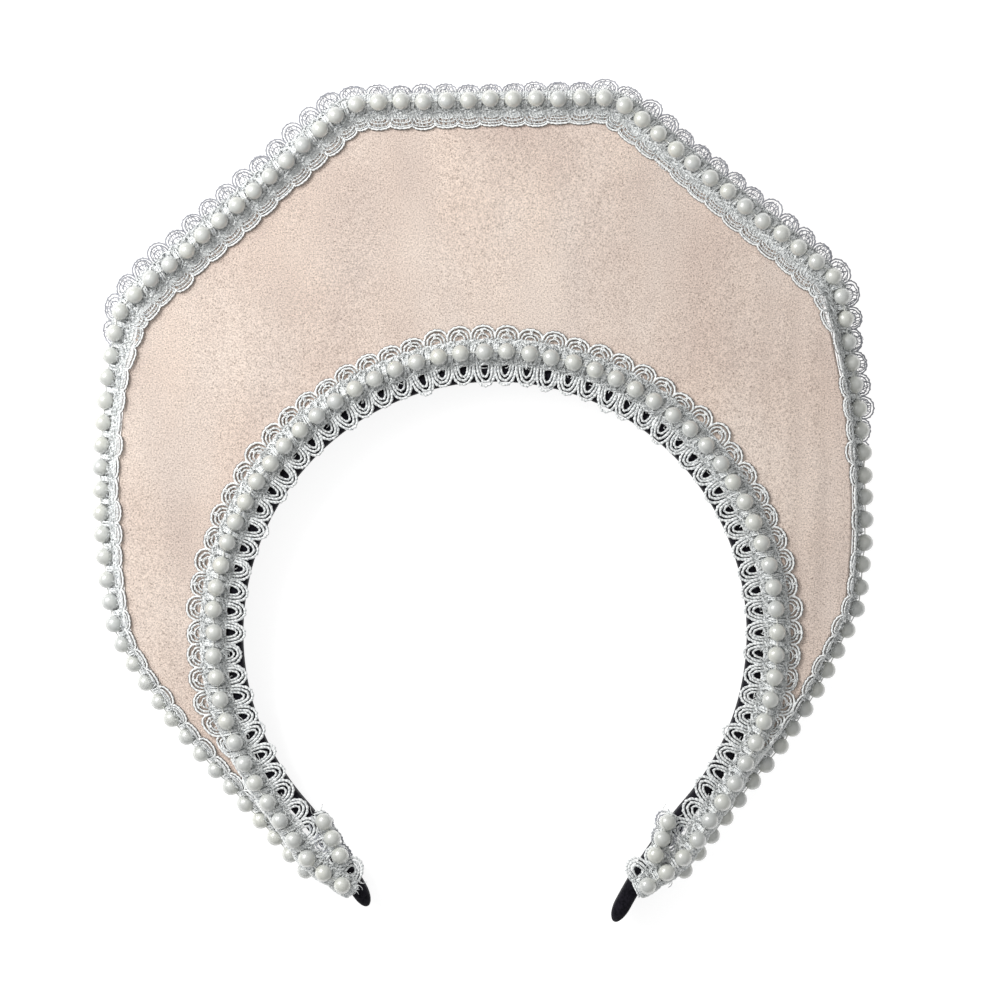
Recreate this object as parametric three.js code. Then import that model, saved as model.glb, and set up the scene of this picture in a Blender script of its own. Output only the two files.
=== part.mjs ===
// A halo crown headband: a velvet-covered C-shaped band, a flat suede-covered crown panel
// round its arch, and a scalloped braid trim with a row of pearls along both edges of the panel.
// Units are millimetres. The crown lies on its back: X is across the crown, Y points to its
// top and Z is up, out of its front face. The arch's centre is at x = y = 0 until the end,
// where the group is moved so that the bottom centre of its box is the origin.
import * as THREE from 'three';

// Band
const BAND_INNER_RADIUS = 64.5;
const BAND_THICKNESS = 4.2;
const BAND_DEPTH = 15;
const BAND_TIP_DEPTH = 9;
const BAND_CORNER = 1.1;
const LEG_START_ANGLE = 41;
const LEG_RADIUS = 139;
const LEFT_LEG_LENGTH = 31.5;
const RIGHT_LEG_LENGTH = 36;
const TIP_ROUNDING = 5;

// Crown panel
const PANEL_THICKNESS = 3;
const PANEL_SIDE_REACH = 29.7;
const PANEL_TOP_REACH = 69.1;
const PANEL_TOE_ANGLE = 37;

// Trim
const BRAID_HALF_WIDTH = 6.4;
const BRAID_THICKNESS = 1;
const SCALLOP_DEPTH = 1.5;
const PEARL_DIAMETER = 4.4;
const PEARL_PITCH = 5.75;
const PEARL_SIDES = 10;
const PEARL_SEAT = 3.4;
const THREAD_DIAMETER = 1.6;
const INNER_ROW_OFFSET = 5.4;
const INNER_ROW_LEG_ANGLE = 34;
const INNER_ROW_LEG = 22;
const INNER_ROW_TURN = 4;
const CUFF_PEARLS = 3;
const CUFF_START = 2;
const CUFF_OFFSET = 2.5;
const CUFF_HALF_WIDTH = 2.3;
const CUFF_SCALLOP_DEPTH = 0.5;

// Clearance kept between pieces that touch
const GAP = 0.3;

// Steps along the arch and the legs
const ARCH_STEP = 8;
const LEG_STEPS = 6;
const TIP_STEPS = 3;

// The least bend of the panel's outline that gets a corner of its own, in millimetres
const LEAST_BEND = 0.06;

// The corners of the row of pearls round the panel, from the left knee over the top to the
// right knee. across is a share of the row's half width, rise a share of its rise, and ease
// is the length, as a share of the half width, over which the row turns on either side.
const PANEL_CORNERS = [
  { name: 'left knee', across: -0.86, rise: -0.142, ease: 0.12 },
  { name: 'left hip', across: -0.984, rise: -0.004, ease: 0.06 },
  { name: 'left side', across: -1.05, rise: 0.276, ease: 0.33 },
  { name: 'left shoulder', across: -0.977, rise: 0.602, ease: 0.05 },
  { name: 'left brow', across: -0.671, rise: 0.789, ease: 0.2 },
  { name: 'left top', across: -0.378, rise: 0.983, ease: 0.055 },
  { name: 'right top', across: 0.314, rise: 0.993, ease: 0.05 },
  { name: 'right brow', across: 0.599, rise: 0.8175, ease: 0.2 },
  { name: 'right shoulder', across: 0.897, rise: 0.654, ease: 0.05 },
  { name: 'right side', across: 0.974, rise: 0.29, ease: 0.26 },
  { name: 'right hip', across: 0.944, rise: 0.05, ease: 0.05 },
  { name: 'right knee', across: 0.803, rise: -0.149, ease: 0.12 },
];

// Where the rows end on the band: along is the length down the leg and offset is outward
// from the leg's middle.
const OUTER_ROW_END = { along: 18, offset: 8.5 };
const INNER_ROW_END = { along: 25, offset: 4 };

// How the outer trim lies along its row, from the left end over the top to the right end.
// place is a share of the row's length, roll the slope of the half nearer the panel in
// degrees, tuck the further bend of the outer half, and lap the share of the half width
// that lies on the panel's face.
const OUTER_LIES = [
  { place: 0.0, roll: 90, tuck: 0, lap: 0 },
  { place: 0.13, roll: 88, tuck: 0, lap: 0 },
  { place: 0.16, roll: 76, tuck: 0, lap: 0 },
  { place: 0.21, roll: 72, tuck: 0, lap: 0 },
  { place: 0.275, roll: 65, tuck: 0, lap: 0 },
  { place: 0.308, roll: 14, tuck: 0, lap: 0.5 },
  { place: 0.325, roll: 0, tuck: 0, lap: 0.94 },
  { place: 0.425, roll: 0, tuck: 8, lap: 0.94 },
  { place: 0.45, roll: 0, tuck: 47, lap: 0.94 },
  { place: 0.55, roll: 0, tuck: 47, lap: 0.94 },
  { place: 0.58, roll: 0, tuck: 25, lap: 0.94 },
  { place: 0.665, roll: 0, tuck: 25, lap: 0.94 },
  { place: 0.685, roll: 18, tuck: 12, lap: 0.5 },
  { place: 0.72, roll: 74, tuck: -46, lap: 0 },
  { place: 0.75, roll: 82, tuck: -56, lap: 0 },
  { place: 0.785, roll: 84, tuck: -14, lap: 0 },
  { place: 0.81, roll: 86, tuck: 0, lap: 0 },
  { place: 1.0, roll: 90, tuck: 0, lap: 0 },
];

// Finishes
const VELVET = new THREE.MeshStandardMaterial({ color: 0x14131a, roughness: 0.95, metalness: 0 });
const SUEDE = new THREE.MeshStandardMaterial({ color: 0xd9c2b4, roughness: 0.95, metalness: 0 });
const BRAID = new THREE.MeshStandardMaterial({ color: 0xd5d9dc, roughness: 0.7, metalness: 0 });
const PEARL = new THREE.MeshStandardMaterial({ color: 0xdfe1dc, roughness: 0.2, metalness: 0 });

// Sizes that follow from those above
const BAND_CENTRE_RADIUS = BAND_INNER_RADIUS + BAND_THICKNESS / 2;
const BAND_OUTER_RADIUS = BAND_INNER_RADIUS + BAND_THICKNESS;
const PANEL_HALF_WIDTH = BAND_OUTER_RADIUS + PANEL_SIDE_REACH;
const PANEL_RISE = BAND_OUTER_RADIUS + PANEL_TOP_REACH;
const PEARL_RADIUS = PEARL_DIAMETER / 2;
const BRAID_LIFT = GAP + BRAID_THICKNESS / 2;
const PEARL_LIFT = BRAID_THICKNESS / 2 + GAP + PEARL_RADIUS;
const INNER_ROW_RADIUS = BAND_CENTRE_RADIUS + INNER_ROW_OFFSET;

// How each trim is made and lies.
const OUTER_TRIM = { halfWidth: BRAID_HALF_WIDTH, scallop: SCALLOP_DEPTH, lies: OUTER_LIES };
const INNER_TRIM = {
  halfWidth: BRAID_HALF_WIDTH,
  scallop: SCALLOP_DEPTH,
  lies: [{ place: 0, roll: 0, tuck: 0, lap: 1 }, { place: 1, roll: 0, tuck: 0, lap: 1 }],
};
const CUFF_TRIM = {
  halfWidth: CUFF_HALF_WIDTH,
  scallop: CUFF_SCALLOP_DEPTH,
  lies: [{ place: 0, roll: 0, tuck: 75, lap: 1 }, { place: 1, roll: 0, tuck: 75, lap: 1 }],
};

const radians = THREE.MathUtils.degToRad;
const lerp = THREE.MathUtils.lerp;

// The point and outward direction of a leg at an arc length below the end of the arch.
// side is -1 for the left leg and 1 for the right one.
function legStation(side, length) {
  const start = radians(-LEG_START_ANGLE);
  const angle = start + length / LEG_RADIUS;
  const centre = BAND_CENTRE_RADIUS + LEG_RADIUS;
  const x = centre * Math.cos(start) - LEG_RADIUS * Math.cos(angle);
  const y = centre * Math.sin(start) - LEG_RADIUS * Math.sin(angle);
  const out = new THREE.Vector2(side * Math.cos(angle), Math.sin(angle));
  return { point: new THREE.Vector2(side * x, y), out };
}

// A point beside a leg, where a row ends.
function besideLeg(side, { along, offset }) {
  const { point, out } = legStation(side, along);
  return point.addScaledVector(out, offset);
}

const LEG_TOP = legStation(1, 0).point.y;
const LEG_BOTTOM = legStation(1, RIGHT_LEG_LENGTH).point.y;

// The band's depth at a height in plan: full round the arch, less towards the tips.
function bandDepth(y) {
  const down = THREE.MathUtils.clamp((LEG_TOP - y) / (LEG_TOP - LEG_BOTTOM), 0, 1);
  return lerp(BAND_DEPTH, BAND_TIP_DEPTH, down * down);
}

// The height of the band's front edge, which the panel's face is level with.
function frontHeight(y) {
  return (BAND_DEPTH + bandDepth(y)) / 2;
}

// Triangles between two rings of vertex numbers, which may differ in count.
function stitch(a, b, faces) {
  let i = 0;
  let j = 0;
  while (i < a.length || j < b.length) {
    const takeA = j >= b.length || (i < a.length && (i + 1) / a.length <= (j + 1) / b.length);
    if (takeA) {
      faces.push(a[i], a[(i + 1) % a.length], b[j % b.length]);
      i += 1;
    } else {
      faces.push(a[i % a.length], b[(j + 1) % b.length], b[j]);
      j += 1;
    }
  }
}

// A closed body through rings of points, each ring counter-clockwise about the way along.
function loft(rings) {
  const positions = [];
  const faces = [];
  const add = (p) => positions.push(p.x, p.y, p.z) / 3 - 1;
  const numbered = rings.map((ring) => ring.map(add));
  for (let k = 0; k + 1 < rings.length; k += 1) {
    stitch(numbered[k], numbered[k + 1], faces);
  }
  const cap = (ring, numbers, flip) => {
    const middle = ring.reduce((sum, p) => sum.add(p), new THREE.Vector3()).divideScalar(ring.length);
    const hub = add(middle);
    numbers.forEach((number, i) => {
      const next = numbers[(i + 1) % numbers.length];
      faces.push(hub, flip ? next : number, flip ? number : next);
    });
  };
  cap(rings[0], numbered[0], true);
  cap(rings.at(-1), numbered.at(-1), false);
  const geometry = new THREE.BufferGeometry();
  geometry.setAttribute('position', new THREE.Float32BufferAttribute(positions, 3));
  geometry.setIndex(faces);
  geometry.computeVertexNormals();
  return geometry;
}

// A point set off from a point in plan by a length outward, at a height.
function lift(point, out, across, height) {
  return new THREE.Vector3(point.x + out.x * across, point.y + out.y * across, height);
}

// The stations along the band from the left tip over the arch to the right tip.
function bandStations() {
  const leg = (side, length) => {
    const stations = [];
    for (let i = 1; i <= LEG_STEPS; i += 1) {
      stations.push({ ...legStation(side, ((length - TIP_ROUNDING) * i) / LEG_STEPS), shrink: 1 });
    }
    for (let i = 1; i <= TIP_STEPS; i += 1) {
      const turn = (radians(80) * i) / TIP_STEPS;
      const along = length - TIP_ROUNDING + TIP_ROUNDING * Math.sin(turn);
      stations.push({ ...legStation(side, along), shrink: Math.cos(turn) });
    }
    return stations;
  };
  const arch = [];
  const sweep = 180 + 2 * LEG_START_ANGLE;
  const count = Math.round(sweep / ARCH_STEP);
  for (let i = 0; i <= count; i += 1) {
    const angle = radians(180 + LEG_START_ANGLE - (sweep * i) / count);
    const out = new THREE.Vector2(Math.cos(angle), Math.sin(angle));
    arch.push({ point: out.clone().multiplyScalar(BAND_CENTRE_RADIUS), out, shrink: 1 });
  }
  return [...leg(-1, LEFT_LEG_LENGTH).reverse(), ...arch, ...leg(1, RIGHT_LEG_LENGTH)];
}

// The band: a flat section with eased corners, standing on its rear edge.
function makeHeadband() {
  const rings = bandStations().map(({ point, out, shrink }) => {
    const halfThick = (BAND_THICKNESS / 2) * shrink;
    const halfDeep = bandDepth(point.y) / 2 - (1 - shrink) * TIP_ROUNDING * 0.6;
    const corner = BAND_CORNER * shrink;
    const outline = [
      [halfThick - corner, -halfDeep], [halfThick, -halfDeep + corner],
      [halfThick, halfDeep - corner], [halfThick - corner, halfDeep],
      [corner - halfThick, halfDeep], [-halfThick, halfDeep - corner],
      [-halfThick, -halfDeep + corner], [corner - halfThick, -halfDeep],
    ];
    return outline.map(([across, up]) => lift(point, out, across, BAND_DEPTH / 2 + up));
  });
  return loft(rings);
}

// A line through points in plan that turns over a length at each inner point.
function easedPath(points) {
  const path = new THREE.Path();
  path.moveTo(points[0].x, points[0].y);
  for (let i = 1; i + 1 < points.length; i += 1) {
    const here = new THREE.Vector2(points[i].x, points[i].y);
    const toward = (other) => {
      return new THREE.Vector2(other.x, other.y).sub(here).setLength(points[i].ease).add(here);
    };
    const before = toward(points[i - 1]);
    const after = toward(points[i + 1]);
    path.lineTo(before.x, before.y);
    path.quadraticCurveTo(here.x, here.y, after.x, after.y);
  }
  path.lineTo(points.at(-1).x, points.at(-1).y);
  return path;
}

// The outer row of pearls, from its left end on the band to its right end.
function outerRow() {
  const corners = PANEL_CORNERS.map(({ across, rise, ease }) => (
    { x: across * PANEL_HALF_WIDTH, y: rise * PANEL_RISE, ease: ease * PANEL_HALF_WIDTH }));
  return easedPath([besideLeg(-1, OUTER_ROW_END), ...corners, besideLeg(1, OUTER_ROW_END)]);
}

// The inner row of pearls: an arc over the band, a straight stretch down each leg, and a turn
// in over the band at its end.
function innerRow() {
  const path = new THREE.Path();
  const low = radians(-INNER_ROW_LEG_ANGLE);
  const leg = (side, length) => {
    const x = INNER_ROW_RADIUS * Math.cos(low) + Math.sin(low) * length;
    const y = INNER_ROW_RADIUS * Math.sin(low) - Math.cos(low) * length;
    return new THREE.Vector2(side * x, y);
  };
  const turn = (side) => {
    const corner = leg(side, INNER_ROW_LEG);
    const end = besideLeg(side, INNER_ROW_END);
    const after = end.clone().sub(corner).setLength(INNER_ROW_TURN).add(corner);
    return { before: leg(side, INNER_ROW_LEG - INNER_ROW_TURN), corner, after, end };
  };
  const left = turn(-1);
  const right = turn(1);
  path.moveTo(left.end.x, left.end.y);
  path.lineTo(left.after.x, left.after.y);
  path.quadraticCurveTo(left.corner.x, left.corner.y, left.before.x, left.before.y);
  path.lineTo(leg(-1, 0).x, leg(-1, 0).y);
  path.absarc(0, 0, INNER_ROW_RADIUS, Math.PI - low, low, true);
  path.lineTo(right.before.x, right.before.y);
  path.quadraticCurveTo(right.corner.x, right.corner.y, right.after.x, right.after.y);
  path.lineTo(right.end.x, right.end.y);
  return path;
}

// The short row along a leg's inner edge. The left one runs down and the right one up, so
// that both face the opening.
function cuffRow(side) {
  const points = [];
  for (let i = 0; i <= CUFF_PEARLS; i += 1) {
    points.push(besideLeg(side, { along: CUFF_START + i * PEARL_PITCH, offset: -CUFF_OFFSET }));
  }
  const path = new THREE.Path();
  path.setFromPoints(side < 0 ? points : points.reverse());
  return path;
}

// The point, outward direction and trim values at a share of a row's length.
function rowStation(path, trim, place) {
  const point = path.getPointAt(place);
  const along = path.getTangentAt(place);
  const above = Math.max(1, trim.lies.findIndex((row) => row.place >= place));
  const low = trim.lies[above - 1];
  const high = trim.lies[above];
  const share = (place - low.place) / (high.place - low.place);
  const blend = (key) => lerp(low[key], high[key], share);
  return {
    point,
    out: new THREE.Vector2(-along.y, along.x),
    roll: radians(blend('roll')),
    tuck: radians(blend('tuck')),
    halfWidth: trim.halfWidth,
    lap: blend('lap') * trim.halfWidth,
  };
}

// The braid's section where it turns over the panel's edge. across is outward from the row
// and up is above the face. edge is where the panel ends, fold is the braid's middle, from
// which the inner half rises to the face and the outer half falls away, and pearl is the
// middle of a pearl. Where the outer half bends up, the pearls lie in the crease.
function trimSection({ roll, tuck, lap, halfWidth }) {
  const inward = new THREE.Vector2(-Math.cos(roll), Math.sin(roll));
  const facing = new THREE.Vector2(Math.sin(roll), Math.cos(roll));
  const outward = new THREE.Vector2(Math.cos(roll + tuck), -Math.sin(roll + tuck));
  const outerFacing = new THREE.Vector2(Math.sin(roll + tuck), Math.cos(roll + tuck));
  const edge = -PEARL_SEAT * facing.x + (halfWidth - lap) * inward.x;
  const fold = new THREE.Vector2(edge, 0).addScaledVector(facing, BRAID_LIFT);
  fold.addScaledVector(inward, lap - halfWidth);
  const crease = Math.min(0, tuck) / 2;
  const clear = (PEARL_LIFT - Math.sin(crease) * GAP) / Math.cos(crease);
  const pearl = new THREE.Vector2(Math.sin(roll + crease), Math.cos(roll + crease));
  pearl.multiplyScalar(clear).add(fold);
  return { inward, facing, outward, outerFacing, edge, fold, pearl };
}

// How many pearls a row holds.
function pearlCount(path) {
  return Math.round(path.getLength() / PEARL_PITCH);
}

// A scalloped strip of braid under a row of pearls.
function makeBraid(path, trim) {
  const count = pearlCount(path) * 2;
  const folded = trim.lies.some((row) => row.tuck !== 0);
  const rings = [];
  for (let i = 0; i <= count; i += 1) {
    const station = rowStation(path, trim, i / count);
    const section = trimSection(station);
    const width = trim.halfWidth - (i % 2 === 0 ? trim.scallop : 0);
    const half = BRAID_THICKNESS / 2;
    const middleFacing = section.facing.clone().add(section.outerFacing).normalize();
    const at = (way, reach, facing, side) => {
      const spot = section.fold.clone().addScaledVector(way, reach).addScaledVector(facing, side * half);
      const place = lift(station.point, station.out, spot.x, spot.y);
      place.z += frontHeight(place.y);
      return place;
    };
    const creases = folded ? [-1, 1].map((side) => at(section.inward, 0, middleFacing, side)) : [];
    rings.push([
      at(section.inward, width, section.facing, -1),
      ...creases.slice(0, 1),
      at(section.outward, width, section.outerFacing, -1),
      at(section.outward, width, section.outerFacing, 1),
      ...creases.slice(1),
      at(section.inward, width, section.facing, 1),
    ]);
  }
  return loft(rings);
}

// A ring of points round a row's thread, moved along it from a centre.
function threadRing(centre, out, radius, sides, along) {
  const middle = new THREE.Vector3(out.y, -out.x, 0).multiplyScalar(along).add(centre);
  const ring = [];
  for (let i = 0; i < sides; i += 1) {
    const angle = (2 * Math.PI * i) / sides;
    ring.push(lift(middle, out, radius * Math.cos(angle), middle.z + radius * Math.sin(angle)));
  }
  return ring;
}

// A row of pearls on their thread, one body.
function makePearls(path, trim) {
  const count = pearlCount(path);
  const shoulder = PEARL_RADIUS * 0.45;
  const rings = [];
  const place = (share, radius, sides, along) => {
    const station = rowStation(path, trim, share);
    const { pearl } = trimSection(station);
    const centre = lift(station.point, station.out, pearl.x, frontHeight(station.point.y) + pearl.y);
    rings.push(threadRing(centre, station.out, radius, sides, along));
  };
  for (let i = 0; i < count; i += 1) {
    place(i / count, THREAD_DIAMETER / 2, 3, 0);
    place((i + 0.5) / count, PEARL_RADIUS, PEARL_SIDES, -shoulder);
    place((i + 0.5) / count, PEARL_RADIUS, PEARL_SIDES, shoulder);
  }
  place(1, THREAD_DIAMETER / 2, 3, 0);
  return loft(rings);
}

// An outline without the points that lie on the line between their neighbours.
function thinned(outline) {
  const kept = [outline[0]];
  for (let i = 1; i + 1 < outline.length; i += 1) {
    const way = outline[i + 1].clone().sub(kept.at(-1)).normalize();
    const off = outline[i].clone().sub(kept.at(-1)).cross(way);
    if (Math.abs(off) > LEAST_BEND) {
      kept.push(outline[i]);
    }
  }
  kept.push(outline.at(-1));
  return kept;
}

// The crown panel: its outer edge follows the outer trim and its inner edge the band.
function makePanel(path) {
  const count = pearlCount(path);
  const toe = radians(-PANEL_TOE_ANGLE);
  const leftToe = radians(180 + PANEL_TOE_ANGLE);
  const inside = (spot) => {
    const angle = Math.atan2(spot.y, spot.x);
    const turned = angle < -Math.PI / 2 ? angle + 2 * Math.PI : angle;
    return turned < leftToe && turned > toe;
  };
  const outline = [];
  for (let i = 0; i <= count; i += 1) {
    const station = rowStation(path, OUTER_TRIM, i / count);
    const edge = trimSection(station).edge;
    const spot = station.point.clone().addScaledVector(station.out, edge);
    if (inside(spot)) {
      outline.push(spot);
    }
  }
  const steps = Math.round((180 + 2 * PANEL_TOE_ANGLE) / ARCH_STEP);
  for (let i = 0; i <= steps; i += 1) {
    const angle = lerp(toe, leftToe, i / steps);
    const radius = BAND_OUTER_RADIUS + GAP;
    outline.push(new THREE.Vector2(radius * Math.cos(angle), radius * Math.sin(angle)));
  }
  const geometry = new THREE.ExtrudeGeometry(new THREE.Shape(thinned(outline)), {
    depth: PANEL_THICKNESS,
    steps: 1,
    bevelEnabled: false,
  });
  geometry.translate(0, 0, BAND_DEPTH - PANEL_THICKNESS);
  return geometry;
}

const group = new THREE.Group();

function addPiece(name, geometry, material) {
  const mesh = new THREE.Mesh(geometry, material);
  mesh.name = name;
  group.add(mesh);
}

const outer = outerRow();
const inner = innerRow();
addPiece('headband', makeHeadband(), VELVET);
addPiece('crown_panel', makePanel(outer), SUEDE);
addPiece('outer_braid', makeBraid(outer, OUTER_TRIM), BRAID);
addPiece('outer_pearls', makePearls(outer, OUTER_TRIM), PEARL);
addPiece('inner_braid', makeBraid(inner, INNER_TRIM), BRAID);
addPiece('inner_pearls', makePearls(inner, INNER_TRIM), PEARL);
for (const [name, side] of [['left', -1], ['right', 1]]) {
  const row = cuffRow(side);
  addPiece(`${name}_end_braid`, makeBraid(row, CUFF_TRIM), BRAID);
  addPiece(`${name}_end_pearls`, makePearls(row, CUFF_TRIM), PEARL);
}

// The bottom centre of the finished piece becomes the origin.
const box = new THREE.Box3().setFromObject(group, true);
const middle = box.getCenter(new THREE.Vector3());
group.position.set(-middle.x, -middle.y, -box.min.z);

export default group;
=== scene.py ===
"""Dresses the halo crown headband: suede panel, velvet band, looped pearl trim.

Sizes are in millimetres, as on the real thing, and are scaled by MM when a mesh is made.
Plan positions are taken from the centre of the band's arch.
"""
import math

import bpy
import numpy as np
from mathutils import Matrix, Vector


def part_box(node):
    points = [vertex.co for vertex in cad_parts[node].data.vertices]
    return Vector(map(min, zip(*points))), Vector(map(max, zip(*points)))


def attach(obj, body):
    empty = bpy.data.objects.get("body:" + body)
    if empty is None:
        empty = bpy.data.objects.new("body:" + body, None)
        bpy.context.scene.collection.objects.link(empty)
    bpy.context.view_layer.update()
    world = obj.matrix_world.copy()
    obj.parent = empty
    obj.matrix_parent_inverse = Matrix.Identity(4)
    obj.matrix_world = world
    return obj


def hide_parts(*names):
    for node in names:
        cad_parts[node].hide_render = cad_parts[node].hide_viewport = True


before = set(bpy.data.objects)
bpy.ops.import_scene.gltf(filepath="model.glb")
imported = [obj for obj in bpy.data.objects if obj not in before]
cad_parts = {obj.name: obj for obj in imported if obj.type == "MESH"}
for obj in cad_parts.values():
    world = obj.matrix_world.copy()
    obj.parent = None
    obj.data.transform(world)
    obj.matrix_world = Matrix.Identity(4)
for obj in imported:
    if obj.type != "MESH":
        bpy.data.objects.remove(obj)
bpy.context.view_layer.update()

MM = 0.001

# Band
BAND_INNER_RADIUS = 64.5
BAND_THICKNESS = 4.2
BAND_DEPTH = 15.0
BAND_TIP_DEPTH = 9.0
LEG_START_ANGLE = 41.0
LEG_RADIUS = 139.0
LEFT_LEG_LENGTH = 31.5
RIGHT_LEG_LENGTH = 36.0
TIP_ROUNDING = 5.0
ARCH_FACETS = 33

# Crown panel
PANEL_THICKNESS = 3.0
PANEL_SIDE_REACH = 29.7
PANEL_TOP_REACH = 69.1
PANEL_TOE_ANGLE = 37.0
PANEL_EDGE_ROUND = 0.9

# Trim
BRAID_HALF_WIDTH = 6.4
BRAID_THICKNESS = 1.0
GAP = 0.3
PEARL_DIAMETER = 4.4
PEARL_PITCH = 5.75
PEARL_HEIGHT = 2.9
PEARL_SEAT = 2.7
INNER_ROW_OFFSET = 5.4
INNER_ROW_LEG_ANGLE = 34.0
INNER_ROW_LEG = 22.0
INNER_ROW_TURN = 4.0

# The outer row's corners from the left knee over the top to the right knee: across, rise
# and ease, as shares of the row's half width, its rise and its half width.
PANEL_CORNERS = [
    (-0.86, -0.142, 0.12),
    (-0.984, -0.004, 0.06),
    (-1.05, 0.276, 0.33),
    (-0.977, 0.602, 0.05),
    (-0.671, 0.789, 0.2),
    (-0.378, 0.983, 0.055),
    (0.314, 0.993, 0.05),
    (0.599, 0.8175, 0.2),
    (0.897, 0.654, 0.05),
    (0.974, 0.29, 0.26),
    (0.944, 0.05, 0.05),
    (0.803, -0.149, 0.12),
]

# Points beside the legs: along the leg below the arch's end, and outward from its middle.
OUTER_ROW_END = (18.0, 8.5)
INNER_ROW_END = (26.0, 1.6)
CUFF_LINES = {
    "left": [(5.0, -3.0), (9.6, -2.1), (14.3, -1.2), (19.0, -0.1)],
    "right": [(5.2, -2.6), (9.6, -1.5), (13.6, -0.2), (17.8, 1.1)],
}
CUFF_PEARLS = 3
CUFF_EASE = 2.0

# How the outer trim lies: place along the row, roll, tuck and lap.
OUTER_TRIM = np.array([
    (0.0, 90, 0, 0),
    (0.13, 88, 0, 0),
    (0.16, 76, 0, 0),
    (0.21, 72, 0, 0),
    (0.275, 65, 0, 0),
    (0.308, 14, 0, 0.5),
    (0.325, 0, 0, 0.94),
    (0.425, 0, 8, 0.94),
    (0.45, 0, 47, 0.94),
    (0.55, 0, 47, 0.94),
    (0.58, 0, 25, 0.94),
    (0.665, 0, 25, 0.94),
    (0.685, 18, 12, 0.5),
    (0.72, 74, -46, 0),
    (0.75, 82, -56, 0),
    (0.785, 84, -14, 0),
    (0.81, 86, 0, 0),
    (1.0, 90, 0, 0),
], dtype=float)
FLAT_TRIM = np.array([(0, 0, 0, 1), (1, 0, 0, 1)], dtype=float)
CUFF_TRIM = np.array([(0, 0, 70, 1), (1, 0, 35, 1)], dtype=float)

# How wide a trim is spread: place along the row, share of the outward half and share of the
# inward half, beyond GATHER_START of the middle. The inner trim's outward half is gathered
# at its ends, over GATHERED pearls.
EVEN_SPREAD = [(0, 1, 1), (1, 1, 1)]
OUTER_SPREAD = [(0, 1, 1), (0.30, 1, 1), (0.32, 1, 0.90), (0.57, 1, 0.90), (0.60, 1, 0.84),
                (0.66, 1, 0.84), (0.70, 1, 1), (1, 1, 1)]
INNER_SPREAD = [(0, 0.22, 1), (0.115, 0.22, 1), (0.155, 1, 1), (0.845, 1, 1), (0.885, 0.22, 1),
                (1, 0.22, 1)]
GATHERED = 9
GATHER_START = 1.2

# How softly a trim bends beside its pearls and over the panel's edge.
SIDE_BEND = 1.2
EDGE_BEND = 0.5

CENTRE_RADIUS = BAND_INNER_RADIUS + BAND_THICKNESS / 2
OUTER_RADIUS = BAND_INNER_RADIUS + BAND_THICKNESS
PANEL_HALF_WIDTH = OUTER_RADIUS + PANEL_SIDE_REACH
PANEL_RISE = OUTER_RADIUS + PANEL_TOP_REACH
PEARL_RADIUS = PEARL_DIAMETER / 2
BRAID_LIFT = GAP + BRAID_THICKNESS / 2

rng = np.random.default_rng(7)


def arch_centre():
    """Returns the arch's centre in the frame, in millimetres, from the band's box."""
    low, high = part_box("headband")
    half_step = math.radians((180 + 2 * LEG_START_ANGLE) / ARCH_FACETS / 2)
    x = (low[0] + high[0]) / 2 / MM
    return np.array([x, high[1] / MM - OUTER_RADIUS * math.cos(half_step)])


ARCH = arch_centre()


# Curves in plan

EASE_STEPS = 25
INNER_ARC_STEPS = 300


def leg_station(side, length):
    """Returns the point and outward direction of a leg below the arch's end."""
    start = math.radians(-LEG_START_ANGLE)
    angle = start + np.asarray(length, dtype=float) / LEG_RADIUS
    centre = CENTRE_RADIUS + LEG_RADIUS
    x = centre * math.cos(start) - LEG_RADIUS * np.cos(angle)
    y = centre * math.sin(start) - LEG_RADIUS * np.sin(angle)
    point = np.stack([side * x, y], -1)
    out = np.stack([side * np.cos(angle), np.sin(angle)], -1)
    return point, out


LEG_TOP = leg_station(1, 0)[0][1]
LEG_BOTTOM = leg_station(1, RIGHT_LEG_LENGTH)[0][1]


def band_depth(y):
    down = np.clip((LEG_TOP - y) / (LEG_TOP - LEG_BOTTOM), 0, 1)
    return BAND_DEPTH + (BAND_TIP_DEPTH - BAND_DEPTH) * down * down


def front_height(y):
    return (BAND_DEPTH + band_depth(y)) / 2


def eased_line(points, eases):
    """Returns a dense line through points that turns smoothly at each inner one."""
    line = [np.array(points[0])]
    share = np.linspace(0, 1, EASE_STEPS)[:, None]
    for before, here, after, ease in zip(points, points[1:], points[2:], eases):
        before, here, after = np.array(before), np.array(here), np.array(after)
        start = here + (before - here) / np.linalg.norm(before - here) * ease
        end = here + (after - here) / np.linalg.norm(after - here) * ease
        line.extend((1 - share) ** 2 * start + 2 * share * (1 - share) * here + share ** 2 * end)
    line.append(np.array(points[-1]))
    return np.array(line)


def beside_leg(side, along, offset):
    point, out = leg_station(side, along)
    return point + out * offset


def outer_line():
    corners = [(a * PANEL_HALF_WIDTH, r * PANEL_RISE) for a, r, _ in PANEL_CORNERS]
    eases = [e * PANEL_HALF_WIDTH for _, _, e in PANEL_CORNERS]
    ends = [beside_leg(side, *OUTER_ROW_END) for side in (-1, 1)]
    return eased_line([ends[0], *corners, ends[1]], eases)


def inner_line():
    radius = CENTRE_RADIUS + INNER_ROW_OFFSET
    low = math.radians(-INNER_ROW_LEG_ANGLE)
    turn = np.linspace(math.pi - low, low, INNER_ARC_STEPS)
    arc = radius * np.stack([np.cos(turn), np.sin(turn)], -1)
    legs = []
    for side in (-1, 1):
        x = radius * math.cos(low) + math.sin(low) * INNER_ROW_LEG
        corner = (side * x, radius * math.sin(low) - math.cos(low) * INNER_ROW_LEG)
        top = arc[0] if side < 0 else arc[-1]
        legs.append(eased_line([top, corner, beside_leg(side, *INNER_ROW_END)], [INNER_ROW_TURN]))
    return np.vstack([legs[0][::-1], arc[1:-1], legs[1]])


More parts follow.
